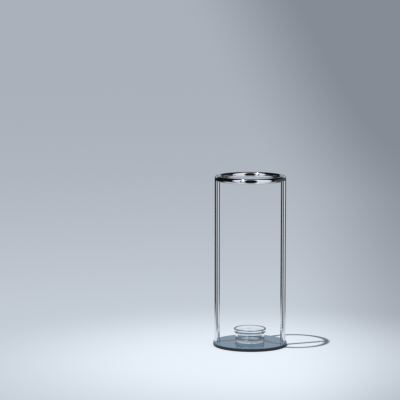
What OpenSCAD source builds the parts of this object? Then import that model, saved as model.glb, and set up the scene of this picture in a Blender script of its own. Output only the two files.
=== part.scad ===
// Umbrella stand: a closed tube ring on two tube uprights, screwed to a round lacquered
// steel plate, with a loose glass bowl in the middle that catches the drips.
// Millimetres, +Z up, origin on the floor at the centre of the base.

/* [Base] */
// Diameter of the base plate
base_d = 230; // [190:1:290]
// Thickness of the base plate
base_t = 8; // [6:0.5:12]
// Width of the bevel around the plate's top edge
base_top_bevel = 0.8; // [0.3:0.1:1.5]
// Width of the bevel around the plate's bottom edge
base_bottom_bevel = 0.5; // [0.3:0.1:1.5]
// Thickness of the anti-slip pad under the plate
pad_t = 2; // [1:0.5:3]
// How far the pad stays inside the plate's edge
pad_inset = 1; // [0.5:0.5:2]

/* [Frame] */
// Height of the whole stand, from the floor to the top of the ring
stand_h = 532; // [440:1:640]
// Outside diameter of the tube that the ring and both uprights are made of
tube_d = 16; // [13:0.5:20]
// Wall thickness of the tube
tube_wall = 1.5; // [1.2:0.1:2]
// How far the uprights and the ring stand in from the plate's edge
frame_inset = 4.5; // [3.5:0.5:20]
// How far the coped tops of the uprights stop below the ring's centre line
cope_trim = 2; // [1.5:0.5:4]
// Diameter of the plating drain hole between the ring and each upright
drain_d = 7; // [4:0.5:9]
// Length of the sleeve inside the ring, where the ends of its tube meet
sleeve_l = 40; // [24:1:60]
// Wall thickness of the sleeve
sleeve_wall = 1.5; // [1:0.1:2]
// Gap all round between the bore of the tube and what is pushed into it
bore_gap = 0.05; // [0.03:0.01:0.1]

/* [Foot joints] */
// Thread diameter of the foot screws
screw_d = 8; // [6:1:8]
// Head diameter of a foot screw
screw_head_d = 15.5; // [12:0.5:16]
// Width across the flats of the screw's hexagon socket
socket_af = 5; // [4:1:5]
// Depth of the screw's hexagon socket
socket_l = 3; // [2:0.5:3.5]
// How deep the screw head sits above the plate's underside
head_recess = 0.4; // [0.2:0.1:1]
// Gap all round between a screw and its hole in the plate
screw_gap = 0.5; // [0.3:0.1:1]
// Length of the screw that is held by the plug's thread
thread_grip = 17; // [10:1:24]
// Depth of the tapped hole beyond the end of the screw
tap_runout = 6; // [3:1:10]
// Thickness of metal left above the tapped hole in a plug
plug_end_t = 7; // [4:1:12]
// Thickness of the washer between each upright and the plate
washer_t = 0.8; // [0.5:0.1:1.5]
// Gap all round between the pad's access hole and the countersink
access_gap = 1; // [0.5:0.5:1.5]

/* [Bowl] */
// Height of the glass bowl
bowl_h = 43; // [36:1:60]
// Outside diameter of the bowl's body, below the flared rim
bowl_d = 91; // [70:1:110]
// Thickness of the bowl's wall and of its rounded rim
bowl_wall = 5; // [3:0.5:5.5]
// How far the rim stands out from the body all round
rim_flare = 4.5; // [3:0.5:6]
// Height over which the wall swings outward
flare_h = 10; // [10:0.5:12]
// Height from the start of the flare to the top of the rim
collar_h = 17; // [15:1:18]
// Thickness of the bowl's floor
bowl_floor_t = 8; // [6:0.5:10]
// Height of the hollow under the bowl, which leaves a ring to stand on
punt_h = 1; // [0.5:0.1:2]

/* [Hidden] */
$fn = 96;
left = -1;
right = 1;
over = 1;                                   // how far a cutter runs past the face it cuts
plate_z = pad_t;                            // underside of the plate
deck_z = plate_z + base_t;                  // top of the plate
foot_z = deck_z + washer_t;                 // underside of the uprights
tube_r = tube_d / 2;
bore_r = tube_r - tube_wall;
fill_r = bore_r - bore_gap;                 // radius of what is pushed into a tube
ring_r = base_d / 2 - frame_inset - tube_r; // radius of the ring along its tube's middle
ring_z = stand_h - tube_r;                  // height of the ring's centre line
screw_r = screw_d / 2;
hole_r = screw_r + screw_gap;               // clearance hole through plate and washer
head_r = screw_head_d / 2;
head_h = head_r - screw_r;                  // a 90 degree countersunk head
head_z = plate_z + head_recess;
sink_r = head_r + head_recess;              // countersink, where it meets the underside
screw_l = foot_z + thread_grip - head_z;    // length of a screw, head included
tapping_l = thread_grip + tap_runout;
hex_facets = 6;
arc_steps = 8;

// Points along an arc about [x, y] with radius r, from angle from to angle to; skip leaves
// out the first of them
function arc(x, y, r, from, to, skip = 0) =
    [for (i = [skip:arc_steps]) let (t = from + (to - from) * i / arc_steps)
        [x + r * cos(t), y + r * sin(t)]];

// Puts its children on the axis of the left or the right upright, at height z
module at_foot(side, z) {
    translate([side * ring_r, 0, z]) children();
}

// A solid ring of round section at the height of the top ring
module ring_core(r, angle = 360) {
    translate([0, 0, ring_z])
        rotate([0, 0, 90 - angle / 2])
        rotate_extrude(angle = angle) translate([ring_r, 0]) circle(r);
}

// The round plate, bevelled at both edges, with a countersunk hole under each upright
module base_plate() {
    r = base_d / 2;
    color("slategray")
    difference() {
        translate([0, 0, plate_z]) rotate_extrude()
            polygon([[0, 0], [r - base_bottom_bevel, 0], [r, base_bottom_bevel],
                     [r, base_t - base_top_bevel], [r - base_top_bevel, base_t],
                     [0, base_t]]);
        for (side = [left, right]) at_foot(side, plate_z - over) {
            cylinder(r = hole_r, h = base_t + 2 * over);
            cylinder(r1 = sink_r + over, r2 = hole_r, h = sink_r + over - hole_r);
        }
    }
}

// The thin disc that the stand rests on, with a hole to reach each screw
module floor_pad() {
    color("black")
    difference() {
        cylinder(r = base_d / 2 - pad_inset, h = pad_t);
        for (side = [left, right])
            at_foot(side, -over) cylinder(r = sink_r + access_gap, h = pad_t + 2 * over);
    }
}

// A tube whose top end is coped to fit under the ring
module upright(side) {
    color("silver")
    difference() {
        at_foot(side, foot_z) cylinder(r = tube_r, h = ring_z - cope_trim - foot_z);
        at_foot(side, foot_z - over) cylinder(r = bore_r, h = ring_z - foot_z);
        ring_core(tube_r);
    }
}

module left_upright() { upright(left); }
module right_upright() { upright(right); }

// The bent tube, with a drain hole into each upright
module top_ring() {
    color("silver")
    difference() {
        ring_core(tube_r);
        ring_core(bore_r);
        for (side = [left, right])
            at_foot(side, ring_z - tube_r - over) cylinder(d = drain_d, h = tube_r + over);
    }
}

// A short bent sleeve at the back of the ring, under the weld that closes it
module ring_sleeve() {
    angle = sleeve_l / ring_r * 180 / PI;
    end_gap = 2;
    color("dimgray")
    difference() {
        ring_core(fill_r, angle);
        ring_core(fill_r - sleeve_wall, angle + end_gap);
    }
}

// A turned plug with a tapped hole, which fills the foot of a tube
module foot_plug(side) {
    color("dimgray")
    difference() {
        at_foot(side, foot_z) cylinder(r = fill_r, h = tapping_l + plug_end_t);
        at_foot(side, foot_z - over) cylinder(r = screw_r, h = tapping_l + over);
    }
}

module left_foot_plug() { foot_plug(left); }
module right_foot_plug() { foot_plug(right); }

// A clear plastic washer that keeps the tube off the lacquer
module foot_washer(side) {
    color("gainsboro")
    difference() {
        at_foot(side, deck_z) cylinder(r = tube_r, h = washer_t);
        at_foot(side, deck_z - over) cylinder(r = hole_r, h = washer_t + 2 * over);
    }
}

module left_foot_washer() { foot_washer(left); }
module right_foot_washer() { foot_washer(right); }

// A countersunk screw with a hexagon socket, driven from under the plate
module foot_screw(side) {
    color("gray")
    difference() {
        at_foot(side, head_z) union() {
            cylinder(r1 = head_r, r2 = screw_r, h = head_h);
            cylinder(r = screw_r, h = screw_l);
        }
        at_foot(side, head_z - over)
            cylinder(d = socket_af / cos(180 / hex_facets), h = socket_l + over, $fn = hex_facets);
    }
}

module left_foot_screw() { foot_screw(left); }
module right_foot_screw() { foot_screw(right); }

// A pressed-glass bowl: a straight body on a thick floor, flared outward to a round rim
module glass_bowl() {
    body_r = bowl_d / 2;
    rim_r = body_r + rim_flare;
    well_r = body_r - bowl_wall;
    heel = 2.5;                             // rounding at the foot
    seat_w = 4;                             // width of the ring that it stands on
    corner = 7;                             // rounding at the bottom of the well
    lip = bowl_wall / 2;                    // the rim is a full round
    punt_r = body_r - heel - seat_w;
    flare_z = bowl_h - collar_h;            // where the wall starts to swing outward
    flare_top_z = flare_z + flare_h;
    turn = 2 * atan(rim_flare / flare_h);   // steepest lean of the wall
    bend = flare_h / (2 * sin(turn));       // radius of both bends of the flare, outside
    color("azure", 0.4)
    translate([0, 0, deck_z])
    rotate_extrude()
        polygon(concat(
            [[0, punt_h], [punt_r, punt_h], [punt_r + punt_h, 0]],
            arc(body_r - heel, heel, heel, -90, 0),
            arc(body_r + bend, flare_z, bend, 180, 180 - turn),
            arc(rim_r - bend, flare_top_z, bend, -turn, 0, 1),
            arc(rim_r - lip, bowl_h - lip, lip, 0, 180),
            arc(rim_r - bend, flare_top_z, bend - bowl_wall, 0, -turn),
            arc(body_r + bend, flare_z, bend + bowl_wall, 180 - turn, 180, 1),
            arc(well_r - corner, bowl_floor_t + corner, corner, 0, -90),
            [[0, bowl_floor_t]]
        ));
}

base_plate();
floor_pad();
left_upright();
right_upright();
top_ring();
ring_sleeve();
left_foot_plug();
right_foot_plug();
left_foot_washer();
right_foot_washer();
left_foot_screw();
right_foot_screw();
glass_bowl();
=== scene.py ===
"""Umbrella stand: a chromed ring on two uprights, a round lacquered base and a glass drip bowl.

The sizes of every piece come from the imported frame. Each operator makes one piece or one group
of like pieces, and the last one makes the floor, the light and the camera.
"""

import math

import bmesh
import bpy
from mathutils import Matrix, Vector


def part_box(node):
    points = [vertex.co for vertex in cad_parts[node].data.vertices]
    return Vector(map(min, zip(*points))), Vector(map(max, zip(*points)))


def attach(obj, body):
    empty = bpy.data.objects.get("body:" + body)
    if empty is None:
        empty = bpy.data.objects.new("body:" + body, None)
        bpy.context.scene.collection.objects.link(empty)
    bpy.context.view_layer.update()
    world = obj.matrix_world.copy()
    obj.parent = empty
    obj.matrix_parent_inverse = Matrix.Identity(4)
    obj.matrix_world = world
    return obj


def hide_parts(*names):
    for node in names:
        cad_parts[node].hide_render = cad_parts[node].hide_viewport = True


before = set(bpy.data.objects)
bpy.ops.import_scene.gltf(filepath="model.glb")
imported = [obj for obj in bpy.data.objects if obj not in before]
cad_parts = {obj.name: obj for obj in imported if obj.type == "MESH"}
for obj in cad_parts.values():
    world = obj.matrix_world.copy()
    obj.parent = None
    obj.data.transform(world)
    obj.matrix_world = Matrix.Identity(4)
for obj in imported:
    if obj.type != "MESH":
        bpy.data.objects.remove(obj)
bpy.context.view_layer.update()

bl_info = {
    "name": "Umbrella Stand",
    "version": (1, 0, 0),
    "blender": (4, 5, 0),
    "location": "3D View > Sidebar > Umbrella Stand",
    "description": "Builds a chromed umbrella stand with a glass drip bowl",
    "category": "Object",
}

MM = 0.001
SIDES = {"left": -1, "right": 1}
WELD_PARTS = 8
SEAT = 4 * MM


def corners(node):
    """A node's lowest and highest corners, to the nearest tenth of a millimetre."""
    return [Vector(round(value, 4) for value in corner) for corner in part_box(node)]


PLATE_LOW, PLATE_HIGH = corners("base_plate")
PAD_LOW, PAD_HIGH = corners("floor_pad")
FOOT = corners("right_upright")[0].z
RING_LOW, RING_HIGH = corners("top_ring")
WASHER_LOW, WASHER_HIGH = corners("right_foot_washer")
SCREW_LOW, SCREW_HIGH = corners("right_foot_screw")
BOWL_LOW, BOWL_HIGH = corners("glass_bowl")
TUBE = (RING_HIGH.z - RING_LOW.z) / 2


# ---------------------------------------------------------------- sizes and finishes

def length(name, description, default):
    """A length property, in metres."""
    return bpy.props.FloatProperty(
        name=name, description=description, default=default, min=0, precision=5, unit="LENGTH"
    )


def colour(name, description, default):
    """A linear colour property."""
    return bpy.props.FloatVectorProperty(
        name=name, description=description, default=default, min=0, max=1, size=3, subtype="COLOR"
    )


def factor(name, description, default):
    """A property from nought to one."""
    return bpy.props.FloatProperty(
        name=name, description=description, default=default, min=0, max=1, subtype="FACTOR"
    )


class STAND_PG_base(bpy.types.PropertyGroup):
    """Sizes of the base plate and of the pad under it."""

    radius: length("Plate radius", "Radius of the base plate", PLATE_HIGH.x)
    top_round: length("Top rounding", "Rounding of the plate's top edge", 0.9 * MM)
    bottom_round: length("Bottom rounding", "Rounding of the plate's bottom edge", 0.5 * MM)
    pad_radius: length("Pad radius", "Radius of the rubber pad", PAD_HIGH.x)
    pad_round: length("Pad rounding", "Rounding of the pad's edges", 0.4 * MM)
    screw_radius: length("Screw radius", "Radius of the screws' shanks", 4 * MM)
    screw_gap: length("Screw gap", "Gap round a screw in the plate", 0.5 * MM)
    access_gap: length("Access gap", "Gap round a screw head in the pad", 1.4 * MM)


class STAND_PG_tubes(bpy.types.PropertyGroup):
    """Sizes of the ring and of the uprights."""

    radius: length("Tube radius", "Outer radius of the tube", TUBE)
    wall: length("Tube wall", "Thickness of the tube's wall", 1.5 * MM)
    ring_radius: length(
        "Ring radius", "Radius of the ring along the middle of its tube", RING_HIGH.x - TUBE
    )
    ring_height: length(
        "Ring height", "Height of the middle of the ring's tube", RING_LOW.z + TUBE
    )
    weld: length("Weld", "Size of the polished weld under the ring", 2.2 * MM)
    foot_chamfer: length("Foot chamfer", "Chamfer at the foot of each upright", 0.3 * MM)


class STAND_PG_bowl(bpy.types.PropertyGroup):
    """Sizes of the glass bowl."""

    rim_radius: length("Rim radius", "Outer radius of the rim", BOWL_HIGH.x)
    wall: length("Wall", "Thickness of the wall and of the rounded rim", 5 * MM)
    flare: length("Rim flare", "How far the rim stands out from the body", 4.5 * MM)
    flare_height: length("Flare height", "Height over which the wall swings outward", 10 * MM)
    collar: length("Collar height", "Height from the start of the flare to the top", 17 * MM)
    floor: length("Floor thickness", "Thickness of the bowl's floor", 8 * MM)
    heel: length("Heel rounding", "Rounding of the foot's outer edge", 2.5 * MM)
    corner: length("Corner rounding", "Rounding between the floor and the wall inside", 7 * MM)
    punt: length("Punt height", "Height of the hollow under the bowl", 1 * MM)


class STAND_PG_finish(bpy.types.PropertyGroup):
    """Colours and gloss of the finishes."""

    lacquer: colour("Lacquer", "Colour of the lacquered plate", (0.108, 0.190, 0.270))
    # The plate's edge colour is painted shade: near black, it stands in for the shade and dark
    # reflections on the plate's side.
    edge: colour("Plate edge", "Colour of the plate's dark edge", (0.005, 0.009, 0.015))
    lacquer_roughness: factor("Lacquer roughness", "Roughness of the lacquer", 0.085)
    chrome: colour("Chrome", "Colour of the chrome", (0.80, 0.82, 0.85))
    chrome_roughness: factor("Chrome roughness", "Roughness of the chrome", 0.035)
    rubber: colour("Rubber", "Colour of the pad", (0.012, 0.013, 0.015))
    zinc: colour("Zinc", "Colour of the screws", (0.55, 0.56, 0.57))
    steel: colour("Steel", "Colour of the plugs and the sleeve", (0.42, 0.42, 0.43))
    washer: colour("Washer", "Colour of the washers", (0.62, 0.65, 0.68))
    glass: colour("Glass", "Tint of the glass", (0.965, 0.985, 0.99))


class STAND_PG_studio(bpy.types.PropertyGroup):
    """The camera, the light and the floor."""

    camera_distance: length("Camera distance", "How far in front the camera stands", 5.6)
    camera_height: length("Camera height", "Height of the camera", 1.1386)
    camera_left: length("Camera offset", "How far to the left the camera stands", 0.156)
    camera_pitch: bpy.props.FloatProperty(
        name="Camera pitch", description="How far the camera looks down",
        default=math.radians(6.956), subtype="ANGLE",
    )
    camera_lens: bpy.props.FloatProperty(
        name="Lens", description="Focal length in millimetres on a 36 mm sensor",
        default=163.95, min=1,
    )
    floor_near: colour("Floor nearby", "Lit colour of the floor at the stand", (0.84, 0.91, 0.99))
    floor_far: colour("Floor far off", "Colour that the floor fades to", (0.235, 0.262, 0.305))
    shade: colour("Shade", "Light that reaches the shadows", (0.218, 0.238, 0.265))
    key: colour("Key light", "Colour of the key light", (1.0, 0.975, 0.94))
    key_strength: bpy.props.FloatProperty(
        name="Key strength", description="Strength of the key light", default=2.56, min=0
    )


SETTINGS = {
    "stand_base": STAND_PG_base,
    "stand_tubes": STAND_PG_tubes,
    "stand_bowl": STAND_PG_bowl,
    "stand_finish": STAND_PG_finish,
    "stand_studio": STAND_PG_studio,
}


# ---------------------------------------------------------------- shader nodes

class Wire:
    """An output of a shader node. Arithmetic on it adds Math nodes to the same tree."""

    def __init__(self, tree, socket):
        self.tree = tree
        self.socket = socket

    def node(self, kind, settings=None, inputs=None, output=0):
        """Adds a node with these settings and these values or links on its sockets."""
        return add_node(self.tree, kind, settings, inputs, output)

    def math(self, operation, *values):
        """Adds a Math node on these values, which need not include this wire."""
        return self.node("ShaderNodeMath", {"operation": operation}, dict(enumerate(values)))

    def __add__(self, other):
        return self.math("ADD", self, other)

    def __radd__(self, other):
        return self.math("ADD", other, self)

    def __sub__(self, other):
        return self.math("SUBTRACT", self, other)

    def __rsub__(self, other):
        return self.math("SUBTRACT", other, self)

    def __mul__(self, other):
        return self.math("MULTIPLY", self, other)

    def __rmul__(self, other):
        return self.math("MULTIPLY", other, self)

    def __truediv__(self, other):
        return self.math("DIVIDE", self, other)

    def __rtruediv__(self, other):
        return self.math("DIVIDE", other, self)

    def __pow__(self, other):
        return self.math("POWER", self, other)

    def __neg__(self):
        return self.math("MULTIPLY", self, -1.0)

    def __abs__(self):
        return self.math("ABSOLUTE", self)


def add_node(tree, kind, settings=None, inputs=None, output=0):
    """Adds a node: first its settings, then what its sockets hold or are linked to."""
    node = tree.nodes.new(kind)
    for name, value in (settings or {}).items():
        setattr(node, name, value)
    for name, value in (inputs or {}).items():
        if isinstance(value, Wire):
            tree.links.new(value.socket, node.inputs[name])
        else:
            node.inputs[name].default_value = value
    return Wire(tree, node.outputs[output]) if node.outputs else None


def step(value, edge, soft):
    """Rises smoothly from 0 to 1 as value passes edge."""
    return value.node(
        "ShaderNodeMapRange", {"interpolation_type": "SMOOTHSTEP"},
        {"Value": value, "From Min": edge - soft, "From Max": edge + soft},
    )


def band(value, low, high, soft):
    """Is 1 where value lies between low and high, with soft edges."""
    return step(value, low, soft) * (1 - step(value, high, soft))


def noise(place, scale, detail=3.0, roughness=0.5):
    """A noise from 0 to 1 of so many features a metre."""
    return place.node(
        "ShaderNodeTexNoise", None,
        {"Vector": place, "Scale": scale, "Detail": detail, "Roughness": roughness},
    )


def split_up(place):
    """The x, y and z of a place."""
    first = place.node("ShaderNodeSeparateXYZ", None, {0: place})
    return [Wire(place.tree, socket) for socket in first.socket.node.outputs]


def stretched(place, scale):
    """The same place, scaled along each axis."""
    return place.node("ShaderNodeMapping", None, {"Vector": place, "Scale": scale})


def mixed(amount, first, second):
    """A colour between two colours."""
    return amount.node(
        "ShaderNodeMix", {"data_type": "RGBA"},
        {"Factor": amount, 6: solid(first), 7: solid(second)}, output=2,
    )


def solid(value):
    """A colour as a socket holds it, or the wire as it is."""
    return value if isinstance(value, Wire) else (*value, 1.0)


def scaled(value, times):
    """A colour so many times as bright, and no brighter than white."""
    return tuple(min(1.0, channel * times) for channel in value)


def bumped(height, strength, distance):
    """A normal bent by a height."""
    return height.node(
        "ShaderNodeBump", None, {"Height": height, "Strength": strength, "Distance": distance}
    )


def new_material(name):
    """An empty node material, and the place on the piece that its patterns follow."""
    material = bpy.data.materials.new(name)
    material.use_nodes = True
    tree = material.node_tree
    tree.nodes.clear()
    return material, add_node(tree, "ShaderNodeTexCoord", output="Object")


def close_material(surface):
    """Links a finished shader to the material's output."""
    surface.node("ShaderNodeOutputMaterial", None, {"Surface": surface})


# ---------------------------------------------------------------- materials

def lacquer_material(finish, base):
    """Glossy blue-grey lacquer, darker round the edge with painted shade, with orange peel and a
    few wiped marks.
    """
    material, place = new_material("blue_grey_lacquer")
    x, y, z = split_up(place)
    radius = (x * x + y * y) ** 0.5
    below = 1 - step(z, PLATE_HIGH.z - base.top_round - 0.2 * MM, 0.2 * MM)
    # Painted shade: the side of the plate, below its top rounding, takes the near-black edge
    # colour and a rougher finish.
    edge = step(radius, base.radius - 0.5 * MM, 0.2 * MM) * below
    cloud = noise(place, 14.0, 2.0)
    fleck = noise(place, 2600.0, 1.0)
    wiped = noise(stretched(place, (40.0, 9.0, 9.0)), 6.0, 4.0, 0.6)
    light = scaled(finish.lacquer, 1.16)
    dark = scaled(finish.lacquer, 0.88)
    paint = mixed(cloud * 0.7 + fleck * 0.3, dark, light)
    peel = noise(place, 900.0, 2.0)
    close_material(place.node("ShaderNodeBsdfPrincipled", None, {
        "Base Color": mixed(edge, paint, finish.edge),
        "Roughness": finish.lacquer_roughness + (wiped - 0.5) * 0.05 + edge * 0.40,
        "IOR": 1.47,
        "Normal": bumped(peel, 0.03, 0.0001),
    }))
    return material


def chrome_material(finish):
    """Bright chrome with a hint of polishing lines and handling marks."""
    material = bpy.data.materials.get("bright_chrome")
    if material:
        return material
    material, place = new_material("bright_chrome")
    marks = step(noise(place, 55.0, 3.0, 0.6), 0.60, 0.12)
    lines = noise(stretched(place, (1.0, 1.0, 0.05)), 1100.0, 1.0)
    close_material(place.node("ShaderNodeBsdfPrincipled", None, {
        "Base Color": mixed(marks, finish.chrome, scaled(finish.chrome, 0.965)),
        "Metallic": 1.0,
        "Roughness": finish.chrome_roughness + marks * 0.03 + lines * 0.01,
    }))
    return material


def glass_material(finish):
    """Clear pressed glass, faintly wavy, that lets the lamps through to what it stands on."""
    material, place = new_material("pressed_glass")
    wave = noise(place, 60.0, 1.0)
    haze = step(noise(place, 130.0, 3.0), 0.62, 0.1)
    glass = place.node("ShaderNodeBsdfPrincipled", None, {
        "Base Color": (*finish.glass, 1.0),
        "Roughness": 0.004 + haze * 0.02,
        "IOR": 1.5,
        "Transmission Weight": 1.0,
        "Normal": bumped(wave, 0.25, 0.0006),
    })
    clear = place.node("ShaderNodeBsdfTransparent", None, {"Color": (0.93, 0.95, 0.96, 1.0)})
    for ray in ("Is Diffuse Ray", "Is Shadow Ray"):
        path = place.node("ShaderNodeLightPath", output=ray)
        glass = place.node("ShaderNodeMixShader", None, {0: path, 1: glass, 2: clear})
    close_material(glass)
    return material


def rubber_material(finish):
    """Black rubber with a fine grain and a little dust."""
    material, place = new_material("black_rubber")
    grain = noise(place, 1500.0, 2.0)
    dust = step(noise(place, 90.0, 4.0, 0.65), 0.60, 0.14)
    close_material(place.node("ShaderNodeBsdfPrincipled", None, {
        "Base Color": mixed(dust * 0.4, finish.rubber, scaled(finish.rubber, 2.6)),
        "Roughness": 0.62 + grain * 0.2,
        "Specular IOR Level": 0.2,
        "Normal": bumped(grain, 0.2, 0.0002),
    }))
    return material


def turned_material(name, base, centre_x, line_scale, roughness):
    """Turned steel: fine rings about an upright axis on either side of the stand."""
    material, place = new_material(name)
    x, y, z = split_up(place)
    off_axis = abs(x) - centre_x
    radius = (off_axis * off_axis + y * y) ** 0.5
    lines = ((radius * line_scale).math("SINE", radius * line_scale)
             + z.math("SINE", z * line_scale)) * 0.25 + 0.5
    speckle = noise(place, 700.0, 3.0)
    close_material(place.node("ShaderNodeBsdfPrincipled", None, {
        "Base Color": mixed(speckle, scaled(base, 0.78), base),
        "Metallic": 1.0,
        "Roughness": roughness + lines * 0.08 + speckle * 0.06,
        "Normal": bumped(lines, 0.12, 0.0001),
    }))
    return material


def washer_material(finish):
    """Milky plastic with a faint moulded grain."""
    material, place = new_material("milky_plastic")
    grain = noise(place, 1200.0, 2.0)
    close_material(place.node("ShaderNodeBsdfPrincipled", None, {
        "Base Color": mixed(grain, finish.washer, scaled(finish.washer, 1.12)),
        "Roughness": 0.36 + grain * 0.12,
        "Normal": bumped(grain, 0.1, 0.0001),
    }))
    return material


# ---------------------------------------------------------------- modelling

def arc(centre, radii, start, end, parts=8):
    """Points (radius, height) along an arc with these two radii, between angles in degrees."""
    across, up = radii
    angles = [math.radians(start + (end - start) * i / parts) for i in range(parts + 1)]
    return [(centre[0] + across * math.cos(a), centre[1] + up * math.sin(a)) for a in angles]


def merged(bm):
    """Closes the seams and poles of a mesh and turns its faces outward."""
    bmesh.ops.remove_doubles(bm, verts=bm.verts, dist=MM / 1000)
    bmesh.ops.recalc_face_normals(bm, faces=bm.faces)
    return bm


def spun(bm, steps, centre_x=0.0):
    """Spins what is in the mesh right round an upright axis."""
    bmesh.ops.spin(
        bm, geom=bm.verts[:] + bm.edges[:], cent=(centre_x, 0, 0), axis=(0, 0, 1),
        angle=math.tau, steps=steps, use_merge=True,
    )
    return merged(bm)


def lathe(profile, steps, centre_x=0.0, closed=False):
    """A mesh spun from a chain of (radius, height) points about an upright axis."""
    bm = bmesh.new()
    verts = [bm.verts.new((centre_x + radius, 0, height)) for radius, height in profile]
    ends = verts[1:] + verts[:1] if closed else verts[1:]
    for pair in zip(verts, ends):
        bm.edges.new(pair)
    return spun(bm, steps, centre_x)


def as_object(name, bm):
    """An object at the origin that holds the mesh."""
    mesh = bpy.data.meshes.new(name)
    bm.to_mesh(mesh)
    bm.free()
    piece = bpy.data.objects.new(name, mesh)
    bpy.context.scene.collection.objects.link(piece)
    return piece


def cut(piece, cutters):
    """Takes the cutters' shapes out of a piece for good."""
    for cutter in cutters:
        modifier = piece.modifiers.new("cut", "BOOLEAN")
        modifier.operation = "DIFFERENCE"
        modifier.solver = "EXACT"
        modifier.object = cutter
    bpy.context.view_layer.update()
    shown = piece.evaluated_get(bpy.context.evaluated_depsgraph_get())
    whole = piece.data
    piece.data = bpy.data.meshes.new_from_object(shown)
    piece.modifiers.clear()
    for mesh in [whole] + [cutter.data for cutter in cutters]:
        bpy.data.meshes.remove(mesh)
    piece.data.name = piece.name


def drilled(piece, profile):
    """Cuts a turned hole into a piece under each upright."""
    middle = (SCREW_LOW.x + SCREW_HIGH.x) / 2
    cut(piece, [
        as_object(f"{name}_cutter", lathe(profile, 48, side * middle))
        for name, side in SIDES.items()
    ])


def finish_piece(piece, material, body, nodes):
    """Smooths a piece, paints it, says what it rides on, and hides the frame's pieces that it
    stands for.
    """
    piece.data.shade_smooth()
    piece.data.set_sharp_from_angle(angle=math.radians(35))
    piece.data.materials.clear()
    piece.data.materials.append(material)
    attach(piece, body)
    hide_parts(*nodes)


def rounded_disc(radius, low, high, low_round, high_round):
    """The section of a disc with rounded edges, from its axis to its axis."""
    hold = 0.3 * MM
    return (
        [(0, low), (radius / 2, low), (radius - low_round - hold, low)]
        + arc((radius - low_round, low + low_round), (low_round, low_round), -90, 0)
        + [(radius, low + low_round + hold), (radius, high - high_round - hold)]
        + arc((radius - high_round, high - high_round), (high_round, high_round), 0, 90)
        + [(radius - high_round - hold, high), (radius / 2, high), (0, high)]
    )


def onto_ring(place, tubes, depth=0.0):
    """The point of the ring's surface nearest to a place, or so deep under it."""
    flat = Vector((place.x, place.y, 0)).normalized() * tubes.ring_radius
    core = flat + Vector((0, 0, tubes.ring_height))
    return core + (place - core).normalized() * (tubes.radius - depth)


def upright_column(angle, side, tubes):
    """The places down the bore of an upright and up its wall and weld, on one side of it."""
    out = Vector((math.cos(angle), math.sin(angle), 0))
    up = Vector((0, 0, 1))
    axis = Vector((side * tubes.ring_radius, 0, 0))
    wall = axis + out * tubes.radius
    bore = axis + out * (tubes.radius - tubes.wall)
    across = math.hypot(wall.x, wall.y) - tubes.ring_radius
    reach = math.sqrt(max(0.0, tubes.radius ** 2 - across ** 2))
    corner = wall + up * (tubes.ring_height - reach)
    start = corner - up * tubes.weld
    end = onto_ring(corner + out * tubes.weld, tubes)
    chamfer = tubes.foot_chamfer
    shares = [i / WELD_PARTS for i in range(WELD_PARTS + 1)]
    weld = [start.lerp(corner, t).lerp(corner.lerp(end, t), t) for t in shares]
    return (
        [axis + up * (tubes.ring_height - tubes.radius), bore + up * (corner.z - tubes.radius),
         bore + up * (FOOT + chamfer), bore + up * FOOT, wall - out * chamfer + up * FOOT,
         wall + up * (FOOT + chamfer), wall + up * (FOOT + 3 * chamfer),
         start - up * 2 * chamfer]
        + weld
        + [onto_ring(end, tubes, tubes.wall), axis + up * tubes.ring_height]
    )


def bowl_section(bowl):
    """The bowl's section, from the middle of its underside round to the middle of its floor."""
    base = BOWL_LOW.z
    height = BOWL_HIGH.z - base
    body = bowl.rim_radius - bowl.flare
    start = height - bowl.collar
    end = start + bowl.flare_height
    turn = 2 * math.atan(bowl.flare / bowl.flare_height)
    bend = bowl.flare_height / (2 * math.sin(turn))
    turn = math.degrees(turn)
    lip = bowl.wall / 2
    half_punt = bowl.punt / 2
    punt = body - bowl.heel - SEAT
    section = (
        [(0, bowl.punt), (punt - bowl.punt, bowl.punt)]
        + arc((punt, half_punt), (half_punt, half_punt), 90, 0, 4)
        + arc((punt + bowl.punt, half_punt), (half_punt, half_punt), 180, 270, 4)
        + arc((body - bowl.heel, bowl.heel), (bowl.heel, bowl.heel), -90, 0, 10)
        + arc((body + bend, start), (bend, bend), 180, 180 - turn, 8)
        + arc((bowl.rim_radius - bend, end), (bend, bend), -turn, 0, 8)[1:]
        + arc((bowl.rim_radius - lip, height - lip), (lip, lip), 0, 180, 16)
        + arc((bowl.rim_radius - bend, end), (bend - bowl.wall, bend - bowl.wall), 0, -turn, 8)
        + arc((body + bend, start), (bend + bowl.wall, bend + bowl.wall), 180 - turn, 180, 8)[1:]
        + arc((body - bowl.wall - bowl.corner, bowl.floor + bowl.corner),
              (bowl.corner, bowl.corner), 0, -90, 16)
        + [(body / 3, bowl.floor), (0, bowl.floor)]
    )
    return [(radius, base + rise) for radius, rise in section]


# ---------------------------------------------------------------- studio

def side_tone(bearing, border, there):
    """How light the far floor and the backdrop are: shaded right of the border, lit elsewhere."""
    return 0.275 - step(bearing - border, 0.0, 0.042) * there * 0.30


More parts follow.
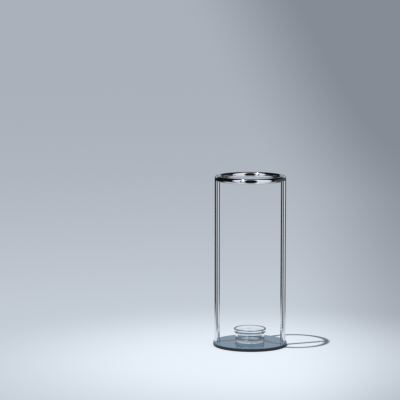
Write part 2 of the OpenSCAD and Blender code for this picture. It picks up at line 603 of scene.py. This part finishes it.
def floor_material(studio):
    """A pale floor: lit by the lamps nearby, with a painted pool of light and a painted shade,
    and fading to the backdrop's tone far off, where it glows.

    What the metal mirrors of the floor, beyond a short reach, is the room instead. The floor
    can't be seen from below.
    """
    material, place = new_material("studio_floor")
    centred = place.node("ShaderNodeMapping", None, {"Vector": place, "Location": (0, 0.25, 0)})
    away = centred.node(
        "ShaderNodeVectorMath", {"operation": "LENGTH"}, {0: centred}, output="Value"
    )
    x, y, z = split_up(place)
    # Seen from the camera, the border of the shade leans to the left as it goes back.
    depth = y.math("MAXIMUM", y + studio.camera_distance, 1.0)
    bearing = (x + studio.camera_left) / depth
    border = depth.math("MINIMUM", 0.6 / depth + 0.02, 0.083)
    # Painted light: the floor's colour brightens in a pool round the stand and fades with
    # distance, and right of the border it holds painted shade.
    painted_light_pool = 1 - step(away, 0.60, 0.40)
    tone = away.math("EXPONENT", away / -2.6) * 0.375 + painted_light_pool * 0.342
    tone = tone + side_tone(bearing, border, step(y, -3.0, 1.5))
    colour = mixed(tone, studio.floor_far, studio.floor_near)
    lit = place.node("ShaderNodeBsdfDiffuse", None, {"Color": colour})
    glow = place.node("ShaderNodeEmission", None, {"Color": colour})
    surface = place.node("ShaderNodeMixShader", None, {0: step(away, 1.4, 0.5), 1: lit, 2: glow})
    mirrored = place.node("ShaderNodeLightPath", output="Is Glossy Ray")
    # What lies outside this reach is left out of the mirrored floor.
    ahead = y.math("MAXIMUM", y * -3.2, y * 1.7)
    reach = (x * x + ahead * ahead) ** 0.5
    under = place.node("ShaderNodeNewGeometry", output="Backfacing")
    gone = place.node("ShaderNodeBsdfTransparent")
    close_material(place.node("ShaderNodeMixShader", None, {
        0: under.math("MAXIMUM", under, mirrored * step(reach, 0.75, 0.25)), 1: surface, 2: gone,
    }))
    return material


def studio_world(studio):
    """A plain backdrop, soft fill, and for reflections a dark room with a soft panel each side.

    Turn is the angle round from the front and rise the angle above the horizon, in degrees.
    """
    world = bpy.data.worlds.new("studio")
    world.use_nodes = True
    tree = world.node_tree
    tree.nodes.clear()
    place = add_node(tree, "ShaderNodeTexCoord", output="Generated")
    x, y, z = split_up(place)
    turn = x.math("ARCTAN2", x, -y) * math.degrees(1)
    rise = z.math("ARCSINE", z) * math.degrees(1)
    through = place.node("ShaderNodeLightPath", output="Is Transmission Ray")
    low = 1 - step(rise, -1.0, 3.0)
    walls = (1 - step(rise, 74.0, 3.0)) * (1 - through * 0.45)
    # The left panel is in two parts, with a narrow gap between them.
    left = band(turn, -62.0 + low * 6.0, -21.0, 3.0) * (1 - band(turn, -36.0, -32.0, 1.0))
    left = left * (1 - low * 0.30) * walls
    right = band(turn, 21.0, 70.0, 3.0) * (1 - low * 0.15) * walls
    corner = step(turn, 84.0, 3.0) * (1 - step(rise, 20.0, 8.0))
    behind = step(abs(turn), 150.0 - through * 30.0, 8.0)
    behind = behind * (1 - step(rise, 18.0 - through * 7.0, 6.0))
    # Mirrored, the backdrop brightens in two stages above the horizon.
    height = step(rise, 8.0, 2.0) * 0.6 + step(rise, 2.0, 2.0) * 0.4
    backdrop = behind * through.math("MAXIMUM", through, height)
    overhead = step(rise, 74.0, 4.0)
    room = left * 0.92 + right * 0.88 + corner * 0.06 + backdrop * 0.47 + overhead * 0.30
    room = room + 0.006 + through * 0.15
    tint = mixed(behind, (0.93, 0.97, 1.0), (0.80, 0.89, 1.0))
    mirrored = place.node("ShaderNodeBackground", None, {
        "Color": mixed(room, (0.0, 0.0, 0.0), tint), "Strength": 1.1,
    })
    fill = place.node("ShaderNodeBackground", None, {"Color": solid(studio.shade)})
    bearing = x / y.math("MAXIMUM", y, 0.01)
    far_off = side_tone(bearing, 0.02, step(y, 0.0, 0.5))
    far_off = mixed(far_off, studio.floor_far, studio.floor_near)
    plain = place.node("ShaderNodeBackground", None, {"Color": far_off})
    surface = fill
    for ray, light in (("Is Transmission Ray", mirrored), ("Is Glossy Ray", mirrored),
                       ("Is Camera Ray", plain)):
        path = place.node("ShaderNodeLightPath", output=ray)
        surface = place.node("ShaderNodeMixShader", None, {0: path, 1: surface, 2: light})
    surface.node("ShaderNodeOutputWorld", None, {"Surface": surface})
    world.cycles.sampling_method = "NONE"
    return world


# ---------------------------------------------------------------- operators

class STAND_OT_base_plate(bpy.types.Operator):
    """Makes the round lacquered plate, with a countersunk hole under each upright."""

    bl_idname = "stand.base_plate"
    bl_label = "Base Plate"

    def execute(self, context):
        base = context.scene.stand_base
        low, high = PLATE_LOW.z, PLATE_HIGH.z
        past = 1 * MM
        sink = (SCREW_HIGH.x - SCREW_LOW.x) / 2 + SCREW_LOW.z - low
        bore = base.screw_radius + base.screw_gap
        section = rounded_disc(base.radius, low, high, base.bottom_round, base.top_round)
        plate = as_object("lacquered_base_plate", lathe(section, 256))
        drilled(plate, [
            (0, low - past), (sink + past, low - past), (bore, low + sink - bore),
            (bore, high + past), (0, high + past),
        ])
        material = lacquer_material(context.scene.stand_finish, base)
        finish_piece(plate, material, "root", ["base_plate"])
        return {"FINISHED"}


class STAND_OT_floor_pad(bpy.types.Operator):
    """Makes the rubber disc under the plate, with a hole to reach each screw."""

    bl_idname = "stand.floor_pad"
    bl_label = "Floor Pad"

    def execute(self, context):
        base = context.scene.stand_base
        low, high = PAD_LOW.z, PAD_HIGH.z
        past = 1 * MM
        reach = (SCREW_HIGH.x - SCREW_LOW.x) / 2 + base.access_gap
        section = rounded_disc(base.pad_radius, low, high, base.pad_round, base.pad_round)
        pad = as_object("rubber_floor_pad", lathe(section, 256))
        drilled(pad, [(0, low - past), (reach, low - past), (reach, high + past),
                      (0, high + past)])
        material = rubber_material(context.scene.stand_finish)
        finish_piece(pad, material, "root", ["floor_pad"])
        return {"FINISHED"}


class STAND_OT_washers(bpy.types.Operator):
    """Makes the thin plastic washer under each upright."""

    bl_idname = "stand.washers"
    bl_label = "Foot Washers"

    def execute(self, context):
        base = context.scene.stand_base
        bore = base.screw_radius + base.screw_gap
        outer = (WASHER_HIGH.x - WASHER_LOW.x) / 2
        middle = (WASHER_HIGH.x + WASHER_LOW.x) / 2
        low, high = WASHER_LOW.z, WASHER_HIGH.z
        edge = (high - low) / 2
        section = (
            [(bore, low)]
            + arc((outer - edge, low + edge), (edge, edge), -90, 90, 6)
            + [(bore, high)]
        )
        material = washer_material(context.scene.stand_finish)
        for name, side in SIDES.items():
            washer = as_object(f"{name}_washer", lathe(section, 64, side * middle, closed=True))
            finish_piece(washer, material, "root", [f"{name}_foot_washer"])
        return {"FINISHED"}


class STAND_OT_top_ring(bpy.types.Operator):
    """Makes the closed ring of chromed tube."""

    bl_idname = "stand.top_ring"
    bl_label = "Top Ring"

    def execute(self, context):
        tubes = context.scene.stand_tubes
        bm = bmesh.new()
        bmesh.ops.create_circle(bm, segments=48, radius=tubes.radius)
        upended = Matrix.Rotation(math.radians(90), 3, "X")
        bmesh.ops.rotate(bm, verts=bm.verts, cent=(0, 0, 0), matrix=upended)
        bmesh.ops.translate(bm, verts=bm.verts, vec=(tubes.ring_radius, 0, tubes.ring_height))
        ring = as_object("chromed_ring", spun(bm, 256))
        material = chrome_material(context.scene.stand_finish)
        finish_piece(ring, material, "root", ["top_ring"])
        return {"FINISHED"}


class STAND_OT_uprights(bpy.types.Operator):
    """Makes the two tubes, each with its coped top run out in a polished weld under the ring."""

    bl_idname = "stand.uprights"
    bl_label = "Uprights"

    def execute(self, context):
        tubes = context.scene.stand_tubes
        material = chrome_material(context.scene.stand_finish)
        around = 96
        for name, side in SIDES.items():
            columns = [
                upright_column(math.tau * i / around, side, tubes) for i in range(around + 1)
            ]
            rows = len(columns[0]) - 1
            bm = bmesh.new()
            bmesh.ops.create_grid(bm, x_segments=around, y_segments=rows, size=0.5)
            for vert in bm.verts:
                column = round((vert.co.x + 0.5) * around)
                row = round((vert.co.y + 0.5) * rows)
                vert.co = columns[column][row]
            upright = as_object(f"chromed_{name}_upright", merged(bm))
            finish_piece(upright, material, "root", [f"{name}_upright"])
        return {"FINISHED"}


class STAND_OT_glass_bowl(bpy.types.Operator):
    """Makes the pressed-glass bowl that stands loose on the plate."""

    bl_idname = "stand.glass_bowl"
    bl_label = "Glass Bowl"

    def execute(self, context):
        bowl = as_object("pressed_glass_bowl", lathe(bowl_section(context.scene.stand_bowl), 160))
        material = glass_material(context.scene.stand_finish)
        finish_piece(bowl, material, "bowl", ["glass_bowl"])
        return {"FINISHED"}


class STAND_OT_hardware(bpy.types.Operator):
    """Paints the screws, the plugs and the sleeve, whose shapes are the frame's own."""

    bl_idname = "stand.hardware"
    bl_label = "Screws, Plugs and Sleeve"

    def execute(self, context):
        finish = context.scene.stand_finish
        centre_x = context.scene.stand_tubes.ring_radius
        zinc = turned_material("zinc_plate", finish.zinc, centre_x, 9000.0, 0.24)
        steel = turned_material("turned_steel", finish.steel, centre_x, 5000.0, 0.34)
        painted = {"foot_screw": zinc, "foot_plug": steel, "ring_sleeve": steel}
        for node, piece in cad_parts.items():
            for ending, material in painted.items():
                if node.endswith(ending):
                    piece.data.materials.clear()
                    piece.data.materials.append(material)
        return {"FINISHED"}


class STAND_OT_studio(bpy.types.Operator):
    """Makes the floor, the key light, the room that the metal mirrors, and the camera."""

    bl_idname = "stand.studio"
    bl_label = "Studio"

    def execute(self, context):
        scene = context.scene
        studio = scene.stand_studio
        scene.world = studio_world(studio)
        scene.view_settings.view_transform = "Standard"
        scene.cycles.caustics_reflective = False
        scene.cycles.caustics_refractive = False
        scene.cycles.max_bounces = 24
        scene.cycles.glossy_bounces = 12
        scene.cycles.transmission_bounces = 24

        bm = bmesh.new()
        bmesh.ops.create_circle(bm, cap_ends=True, segments=96, radius=90.0)
        bmesh.ops.translate(bm, verts=bm.verts, vec=(0, 0, -0.1 * MM))
        floor = as_object("studio_floor", bm)
        floor.data.materials.append(floor_material(studio))

        lamp = bpy.data.lights.new("key_light", "SUN")
        lamp.energy = studio.key_strength
        lamp.angle = math.radians(0.9)
        lamp.color = studio.key
        key = bpy.data.objects.new("key_light", lamp)
        scene.collection.objects.link(key)
        key.rotation_euler = Vector((0.142, 0.057, -0.524)).to_track_quat("-Z", "Y").to_euler()

        lens = bpy.data.cameras.new("camera")
        lens.lens = studio.camera_lens
        lens.sensor_width = 36.0
        lens.clip_end = 500.0
        camera = bpy.data.objects.new("camera", lens)
        scene.collection.objects.link(camera)
        camera.location = (-studio.camera_left, -studio.camera_distance, studio.camera_height)
        camera.rotation_euler = (math.radians(90) - studio.camera_pitch, 0, 0)
        scene.camera = camera
        return {"FINISHED"}


# ---------------------------------------------------------------- panel and registration

class STAND_PT_sidebar(bpy.types.Panel):
    """Lists the pieces of the stand, and the sizes and colours that they take."""

    bl_label = "Umbrella Stand"
    bl_space_type = "VIEW_3D"
    bl_region_type = "UI"
    bl_category = "Umbrella Stand"

    def draw(self, context):
        for operator in OPERATORS:
            self.layout.operator(operator.bl_idname)
        for name, group in SETTINGS.items():
            settings = getattr(context.scene, name)
            box = self.layout.box()
            for item in group.__annotations__:
                box.prop(settings, item)


OPERATORS = (
    STAND_OT_studio,
    STAND_OT_base_plate,
    STAND_OT_floor_pad,
    STAND_OT_washers,
    STAND_OT_top_ring,
    STAND_OT_uprights,
    STAND_OT_glass_bowl,
    STAND_OT_hardware,
)


def register():
    for kind in (*SETTINGS.values(), *OPERATORS, STAND_PT_sidebar):
        bpy.utils.register_class(kind)
    for name, group in SETTINGS.items():
        setattr(bpy.types.Scene, name, bpy.props.PointerProperty(type=group))


def unregister():
    for name in SETTINGS:
        delattr(bpy.types.Scene, name)
    for kind in (STAND_PT_sidebar, *reversed(OPERATORS), *SETTINGS.values()):
        bpy.utils.unregister_class(kind)


def main():
    """Builds the stand."""
    register()
    bpy.ops.stand.studio()
    bpy.ops.stand.base_plate()
    bpy.ops.stand.floor_pad()
    bpy.ops.stand.washers()
    bpy.ops.stand.top_ring()
    bpy.ops.stand.uprights()
    bpy.ops.stand.glass_bowl()
    bpy.ops.stand.hardware()


if __name__ == "__main__":
    main()
